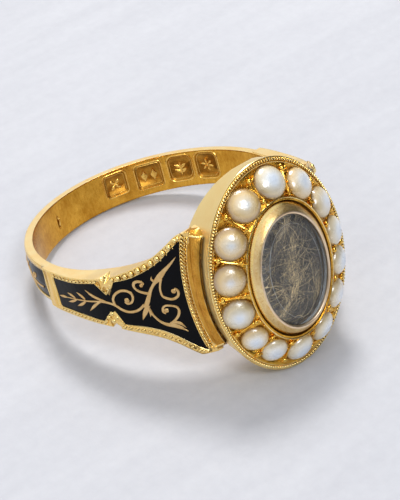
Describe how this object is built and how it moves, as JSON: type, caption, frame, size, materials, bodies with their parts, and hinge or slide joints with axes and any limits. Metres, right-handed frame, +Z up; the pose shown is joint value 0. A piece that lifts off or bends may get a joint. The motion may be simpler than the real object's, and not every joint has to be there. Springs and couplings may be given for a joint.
{
  "type": "mourning ring",
  "caption": "Gold mourning ring: enamelled hoop with fishtail shoulders and an oval head of half pearls round a glazed hair locket.",
  "frame": {"origin": "under the middle of the ring's bounding box, on the surface that the ring lies on", "axes": "+Z up from the surface; -Y towards the ring's head; +X to the right seen from in front of the head. The ring lies on its side, so the finger hole's axis leans 15.4 degrees from +Z towards +Y."},
  "size_m": [0.019, 0.0234, 0.0137],
  "materials": {
    "gold": "polished, satin on the head's wall",
    "bezel_gold": "worn satin gold",
    "black_enamel": "glossy fired enamel",
    "pearl": "nacreous lustre",
    "crystal": "polished, bevelled",
    "hair": "fine strands"
  },
  "bodies": {
    "root": {"ring_body": "gold", "enamel_left": "black_enamel", "enamel_right": "black_enamel", "enamel_back": "black_enamel", "locket_bezel": "bezel_gold", "crystal": "crystal", "hair_panel": "hair", "pearl_01": "pearl", "pearl_02": "pearl", "pearl_03": "pearl", "pearl_04": "pearl", "pearl_05": "pearl", "pearl_06": "pearl", "pearl_07": "pearl", "pearl_08": "pearl", "pearl_09": "pearl", "pearl_10": "pearl", "pearl_11": "pearl", "pearl_12": "pearl", "pearl_13": "pearl", "pearl_14": "pearl"}
  },
  "joints": []
}
